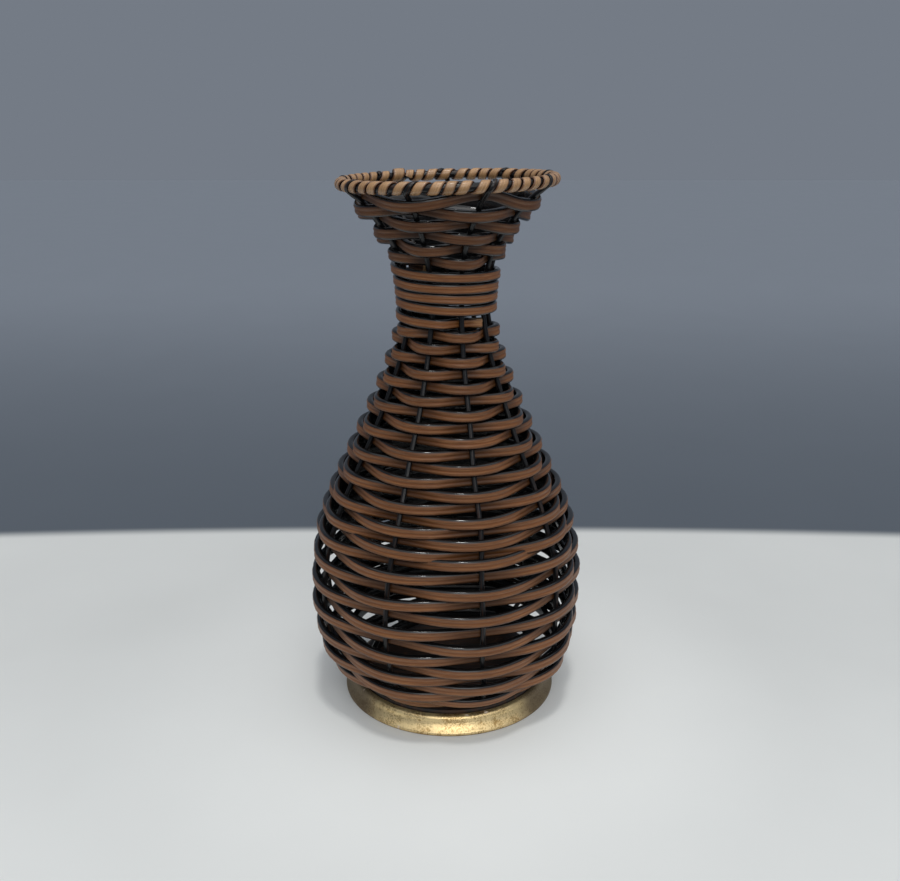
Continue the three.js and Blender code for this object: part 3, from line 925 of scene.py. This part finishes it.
class VASE_OT_stakes(Operator):
    """Adds the stakes, from their seats in the board to their tips folded over the hoop"""

    bl_idname = "vase.stakes"
    bl_label = "Add Stakes"

    def execute(self, context):
        settings = context.scene.woven_vase
        sizes = settings.stakes
        form = Form(settings)
        material = stake_finish(settings.colours)
        per_stake = settings.rim.lashes_per_stake
        heights = np.linspace(form.stake_foot, form.tip_touch[0], 170)
        unrest = eased(heights, BOARD_HIGH[2], 30 * MM) * (1 - eased(heights, 220 * MM, 245 * MM))
        # The tip leans, as the lashes do, so that it lies between two of them.
        touch = form.touch_direction
        directions = np.linspace(touch, TIP_END_DIRECTION, 26)[1:]
        turned = lash_angle((directions - TIP_GAP_DIRECTION) / 360, per_stake)
        start = lash_angle((touch - TIP_GAP_DIRECTION) / 360, per_stake)
        turned = turned - start * (1 - eased(directions, touch, touch + 60))
        section = round_section(sides=24, groove=0.16)
        for index in range(STAKE_COUNT):
            angle = FIRST_STAKE_ANGLE + index * STAKE_SPACING
            shift = wander(heights, STAKE_SEED + index, 60 * MM, 0.35) * unrest
            rod, rod_outs = form.place(
                angle + form.lean_at(heights) + shift, heights, np.zeros_like(heights)
            )
            tip, tip_outs = form.round_hoop(
                angle + turned, directions, np.full_like(directions, form.tip_bend)
            )
            points = np.concatenate([rod, tip])
            outs = np.concatenate([rod_outs, tip_outs])
            steps = np.linalg.norm(np.diff(points, axis=0), axis=1)
            to_end = np.append(np.cumsum(steps[::-1])[::-1], 0)
            pressed = eased(to_end, 15 * MM, 8 * MM)
            pointed = np.sqrt(np.clip(to_end / (0.9 * MM), 0.02, 1))
            ends = (sizes.tip_width, sizes.tip_thickness)
            spans = [sizes.diameter + (end - sizes.diameter) * pressed for end in ends]
            halves = np.stack([span * pointed / 2 for span in spans], axis=1)
            parts = swept(form, points, outs, halves, section)
            piece = finished_mesh(f"stake_rod_{index + 1}", *parts)
            dress(piece, material, "black_stake", f"stake_{index + 1}")
        return {"FINISHED"}


def row_at_stake(count):
    """The row of a strand at a counted stake. A row starts a little to the left of the front."""
    return (np.asarray(count, float) * STAKE_SPACING - FIRST_STAKE_ANGLE - ROW_START) / 360


def row_heights(first, rows, low, high, shares):
    """The height that a strand has reached at a row, between its lowest and its highest."""
    start, end = (first, low), (first + rows, high)
    return smooth([start] + between(start, shares, end) + [end])


def strand_path(form, sizes, counts, height_at, offsets, lifts, slant):
    """Points of a strand that passes counted stakes, and the directions that its face looks.

    The strand goes in and out level, or by a slant share square to the wall, and its face stands
    more upright than a sloping wall.
    """
    heights = height_at(row_at_stake(counts)) + lifts
    angles = FIRST_STAKE_ANGLE - counts * STAKE_SPACING + form.lean_at(heights)
    points, outs = form.place(angles, heights, 0 * heights)
    upright = np.hypot(outs[:, 0], outs[:, 1])
    points += outs / upright[:, None] * [1, 1, slant] * offsets[:, None]
    faces = outs * [1, 1, sizes.slope_share]
    return points, faces / np.linalg.norm(faces, axis=1, keepdims=True)


def strand_tail(form, sizes, count, height_at):
    """How many stakes' worth one strand width is, at a counted stake."""
    radius = form.radius_at(height_at(row_at_stake(count)))
    return math.degrees(sizes.width / radius) / STAKE_SPACING


def weave_offset(settings, counts):
    """Over one stake and under the next: inside every even stake, outside every odd one."""
    pressed = 0.1 * MM
    reach = (settings.stakes.diameter + settings.strand.thickness) / 2 - pressed
    return -reach * np.cos(math.pi * counts)


def lifted(counts, table):
    """How much higher than its even climb a strand lies at counted stakes."""
    inside = (counts >= table[0][0]) & (counts <= table[-1][0])
    return np.where(inside, smooth(table)(counts), 0) * MM


def woven(settings, stakes, height_at, lifts, seed, unrest, lead, slant):
    """One strand woven from one counted stake to another, as corners, faces and values.

    lead is how many stakes it lies inside of before it starts to go in and out, and slant how
    far it goes in and out square to the wall.
    """
    form = Form(settings)
    sizes = settings.strand
    start = stakes[0] - max(lead, strand_tail(form, sizes, stakes[0], height_at))
    end = stakes[1] + strand_tail(form, sizes, stakes[1], height_at)
    counts = np.linspace(start, end, int((end - start) * STEPS_PER_STAKE))
    offsets = weave_offset(settings, np.clip(counts, *stakes))
    # How deep in the weave a place lies, for the painted shade of the inner passes: 0 over a stake
    # and 1 under the next.
    depth = np.clip(0.15 - offsets / np.max(offsets) * 0.85, 0, 1)
    offsets = offsets + np.abs(wander(counts, seed + 1, 2.3, 0.14 * MM))
    offsets = offsets - eased(counts, stakes[0], stakes[0] - 1) * sizes.thickness
    lifts = lifted(counts, lifts) + wander(counts, seed, 2.7, unrest)
    lowest = BOARD_HIGH[2] + sizes.width / 2 + CLEARANCE
    lifts = lifts + np.maximum(lowest - height_at(row_at_stake(counts)) - lifts, 0)
    points, outs = strand_path(form, sizes, counts, height_at, offsets, lifts, slant)
    roll = np.radians(wander(counts, seed + 2, 3.1, 4))
    turn = np.abs(np.degrees(np.arctan2(points[:, 0], -points[:, 1])))
    behind = sum(share * eased(turn, low, high) for low, high, share in WIDER_BEHIND)
    spread = behind * eased(points[:, 2], WIDER_FROM, WIDER_WHOLE)
    halves = np.stack([sizes.width * (1 + spread), sizes.thickness * (1 + spread / 2)], axis=1) / 2
    corners, faces, values = swept(form, points, outs, halves, STRAND_SECTION, roll)
    sides = len(STRAND_SECTION)
    values["depth"] = np.append(np.repeat(depth, sides), np.ones(2 * sides))
    return corners, faces, values


class VASE_OT_body(Operator):
    """Weaves the body's strand, over one stake and under the next, from the foot to the neck"""

    bl_idname = "vase.body"
    bl_label = "Weave Body"

    def execute(self, context):
        settings = context.scene.woven_vase
        sizes = settings.strand
        rows = sizes.body_rows
        height_at = row_heights(0, rows, sizes.body_low, sizes.body_high, BODY_ROW_SHARES)
        stakes = (BODY_REACH[0], STAKE_COUNT * rows + BODY_REACH[1])
        parts = woven(settings, stakes, height_at, BODY_LIFTS, BODY_SEED, 0.12 * MM, BODY_LEAD, 0)
        piece = finished_mesh("body_strand", *parts)
        material = strand_finish("strand", settings.colours, face_level=0.93, edge=0.72)
        dress(piece, material, "brown_strand", "body_weaver")
        return {"FINISHED"}


class VASE_OT_binding(Operator):
    """Winds the strand round the outside of the neck"""

    bl_idname = "vase.binding"
    bl_label = "Wind Neck Binding"

    def execute(self, context):
        settings = context.scene.woven_vase
        form = Form(settings)
        sizes = settings.strand
        first = sizes.body_rows + 1
        height_at = row_heights(
            first, BINDING_ROWS, sizes.binding_low, sizes.binding_high, BINDING_ROW_SHARES
        )
        stakes = [STAKE_COUNT * first + reach for reach in BINDING_REACH]
        start = stakes[0] - BINDING_TUCK
        end = stakes[1] + strand_tail(form, sizes, stakes[1], height_at)
        counts = np.linspace(start, end, BINDING_STEPS)
        held = np.clip(counts, *stakes)
        from_end = np.minimum(held - stakes[0], stakes[1] - held)
        inward = np.maximum(1 - from_end / TUCK_SPAN, 0)
        reach = (settings.stakes.diameter + sizes.neck_thickness) / 2 + CLEARANCE
        tucked = eased(counts, stakes[0] - TUCK_START, start)
        offsets = reach * np.cos(math.pi * inward) + reach * tucked
        offsets = offsets + np.abs(wander(counts, BINDING_SEED + 1, 4.1, 0.1 * MM))
        lifts = lifted(counts, BINDING_LIFTS) + wander(counts, BINDING_SEED, 4.7, 0.12 * MM)
        points, outs = strand_path(form, sizes, counts, height_at, offsets, lifts, 0)
        roll = np.radians(wander(counts, BINDING_SEED + 2, 3.7, 4))
        halves = [sizes.neck_width / 2, sizes.neck_thickness / 2]
        corners, faces, values = swept(form, points, outs, halves, STRAND_SECTION, roll)
        values["depth"] = np.zeros(len(corners))
        frayed = 0.6 * eased(values["along"], 6 * MM, 1 * MM)
        values["cut"] = np.maximum(values["cut"], frayed)
        piece = finished_mesh("neck_strand", corners, faces, values)
        # Painted light: the neck's copy of the strand's finish is drawn brighter, for the light
        # that falls on the binding.
        material = strand_finish("neck_strand", settings.colours, face_level=1.18, edge=0.67)
        dress(piece, material, "brown_strand", "neck_binding")
        return {"FINISHED"}


class VASE_OT_mouth(Operator):
    """Weaves the strand through the flared mouth"""

    bl_idname = "vase.mouth"
    bl_label = "Weave Mouth"

    def execute(self, context):
        settings = context.scene.woven_vase
        sizes = settings.strand
        first = sizes.body_rows + 6
        height_at = row_heights(
            first, MOUTH_ROWS, sizes.mouth_low, sizes.mouth_high, MOUTH_ROW_SHARES
        )
        stakes = [STAKE_COUNT * first + reach for reach in MOUTH_REACH]
        parts = woven(
            settings, stakes, height_at, MOUTH_LIFTS, MOUTH_SEED, 0.25 * MM, MOUTH_LEAD, MOUTH_SLANT
        )
        piece = finished_mesh("flare_strand", *parts)
        # Painted shade: the mouth's copy of the strand's finish is drawn darker, for the shade
        # under the flare.
        material = strand_finish("mouth_strand", settings.colours, face_level=0.68, edge=0.7)
        dress(piece, material, "brown_strand", "flare_weaver")
        return {"FINISHED"}


class VASE_OT_hoop(Operator):
    """Bends the rim hoop from a rod, its thinned ends laid side by side"""

    bl_idname = "vase.hoop"
    bl_label = "Add Rim Hoop"

    def execute(self, context):
        settings = context.scene.woven_vase
        form = Form(settings)
        angles = np.linspace(HOOP_START, HOOP_START + 360 + HOOP_OVERLAP, 300)
        near_start = eased(angles, angles[0] + HOOP_OVERLAP, angles[0])
        near_end = eased(angles, angles[-1] - HOOP_OVERLAP, angles[-1])
        aside = (near_end - near_start) * 0.55 * form.hoop_radius
        points = around(angles) * (form.rim_radius + aside)[:, None]
        points[:, 2] = form.rim_height
        radius = form.hoop_radius * (1 - 0.62 * np.maximum(near_start, near_end))
        halves = np.stack([radius, radius], axis=1)
        section = round_section(sides=18, groove=0.04)
        parts = swept(form, points, around(angles), halves, section)
        piece = finished_mesh("hoop_rod", *parts)
        dress(piece, stake_finish(settings.colours), "black_stake", "rim_hoop")
        return {"FINISHED"}


def laid_strip(form, turns, angles, directions, width, lifts, thickness):
    """A strip laid round the hoop's own curve, as corners, faces and values."""
    base = form.hoop_radius + 0.08 * MM
    middle = base + thickness / 2
    local = form.rim_radius + middle * np.cos(np.radians(directions))
    to_right = np.gradient(np.radians(angles), turns) * local
    upwards = np.gradient(np.radians(directions), turns) * middle
    size = np.hypot(to_right, upwards)
    to_right, upwards = to_right / size, upwards / size
    corners = np.empty((len(turns), len(STRIP_SECTION), 3))
    for k, (u, v) in enumerate(STRIP_SECTION):
        reach = u * width / 2
        angle = angles - np.degrees(upwards * reach / local)
        direction = directions + np.degrees(to_right * reach / middle)
        height = STRIP_DOME * v + (1 - STRIP_DOME) * min(1, v * 2)
        corners[:, k], _ = form.round_hoop(angle, direction, base + lifts + thickness * height)
    return tube(form, corners.mean(axis=1), corners, STRIP_SECTION)


class VASE_OT_lashing(Operator):
    """Lashes the pale strip round the rim hoop, parted where a stake's tip comes through"""

    bl_idname = "vase.lashing"
    bl_label = "Lash Rim"

    def execute(self, context):
        settings = context.scene.woven_vase
        form = Form(settings)
        rim = settings.rim
        per_stake = rim.lashes_per_stake
        turns = np.linspace(0, LASH_TURNS, int(LASH_TURNS * STEPS_PER_LASH))
        spacing = STAKE_SPACING / per_stake
        first = round((LASH_START - FIRST_STAKE_ANGLE) / spacing) + 0.5
        angles = FIRST_STAKE_ANGLE + lash_angle(first + turns, per_stake)
        angles = angles + wander(turns, STRIP_SEED, 2.3, 0.24)
        directions = TIP_GAP_DIRECTION + turns * 360
        loose_end = eased(turns, 0.9, 0.5)
        width = rim.strip_width * (1 + wander(turns, STRIP_SEED + 1, 3.1, 0.05) + 0.3 * loose_end)
        lifts = np.abs(wander(turns, STRIP_SEED + 2, 1.7, 0.1 * MM)) + 0.9 * MM * loose_end
        parts = laid_strip(form, turns, angles, directions, width, lifts, rim.strip_thickness)
        piece = finished_mesh("lashed_strip", *parts)
        dress(piece, strip_finish(settings.colours), "pale_strip", "rim_lashing")
        return {"FINISHED"}


class VASE_OT_stage(Operator):
    """Adds the table top, the soft light and the camera"""

    bl_idname = "vase.stage"
    bl_label = "Add Stage"

    def execute(self, context):
        settings = context.scene.woven_vase
        scene = context.scene
        deselect()
        bpy.ops.mesh.primitive_plane_add(size=8)
        floor = added("table_top")
        bpy.ops.object.mode_set(mode="EDIT")
        bpy.ops.mesh.subdivide(number_cuts=7)
        bpy.ops.object.mode_set(mode="OBJECT")
        floor.data.materials.append(floor_finish(settings.colours))

        world = bpy.data.worlds.new("surroundings")
        scene.world = world
        world.use_nodes = True
        background = world.node_tree.nodes["Background"]
        background.inputs["Color"].default_value = (0.175, 0.198, 0.235, 1)
        background.inputs["Strength"].default_value = 1.0

        # Each lamp's name, the place that it shines from, its strength, spread and colour.
        lamps = (
            ("ceiling_light", (0.15, -0.3, 1.0), 1.3, 110, (1.0, 0.985, 0.96)),
            ("front_light", (0.1, -1.0, 0.8), 0.5, 36, (1.0, 0.98, 0.95)),
            ("small_light", (0.02, -0.16, 1.0), 0.6, 6, (1.0, 0.99, 0.97)),
        )
        for name, place, strength, spread, tint in lamps:
            data = bpy.data.lights.new(name, "SUN")
            data.energy = strength
            data.angle = math.radians(spread)
            data.color = tint
            lamp = linked(name, data)
            lamp.location = place
            lamp.rotation_euler = Vector(place).to_track_quat("Z", "Y").to_euler()

        data = bpy.data.cameras.new("camera")
        data.sensor_width = 36
        data.sensor_fit = "HORIZONTAL"
        data.lens = 40.2
        data.clip_start = 0.01
        camera = linked("camera", data)
        camera.location = (0.0004, -0.45825, 0.27875)
        looks_down = 18.1
        camera.rotation_euler = (math.radians(90 - looks_down), 0, 0)
        scene.camera = camera
        scene.view_settings.view_transform = "Standard"
        return {"FINISHED"}


OPERATORS = (
    VASE_OT_foot,
    VASE_OT_board,
    VASE_OT_stakes,
    VASE_OT_body,
    VASE_OT_binding,
    VASE_OT_mouth,
    VASE_OT_hoop,
    VASE_OT_lashing,
    VASE_OT_stage,
)


class VASE_PT_panel(Panel):
    """Lists the settings and the pieces"""

    bl_idname = "VASE_PT_panel"
    bl_label = "Woven Vase"
    bl_space_type = "VIEW_3D"
    bl_region_type = "UI"
    bl_category = "Woven Vase"

    def draw(self, context):
        settings = context.scene.woven_vase
        for label in ("shape", "stakes", "strand", "rim", "foot", "colours"):
            box = self.layout.box()
            box.label(text=label.capitalize())
            group = getattr(settings, label)
            for key in group.__annotations__:
                box.prop(group, key)
        for operator in OPERATORS:
            self.layout.operator(operator.bl_idname)


CLASSES = (
    VaseShape,
    StakeSizes,
    StrandSizes,
    RimSizes,
    FootSizes,
    Colours,
    VaseSettings,
    *OPERATORS,
    VASE_PT_panel,
)


def register():
    for item in CLASSES:
        bpy.utils.register_class(item)
    bpy.types.Scene.woven_vase = PointerProperty(type=VaseSettings)


def unregister():
    del bpy.types.Scene.woven_vase
    for item in reversed(CLASSES):
        bpy.utils.unregister_class(item)


def main():
    register()
    for operator in OPERATORS:
        group, name = operator.bl_idname.split(".")
        getattr(getattr(bpy.ops, group), name)()


if __name__ == "__main__":
    main()
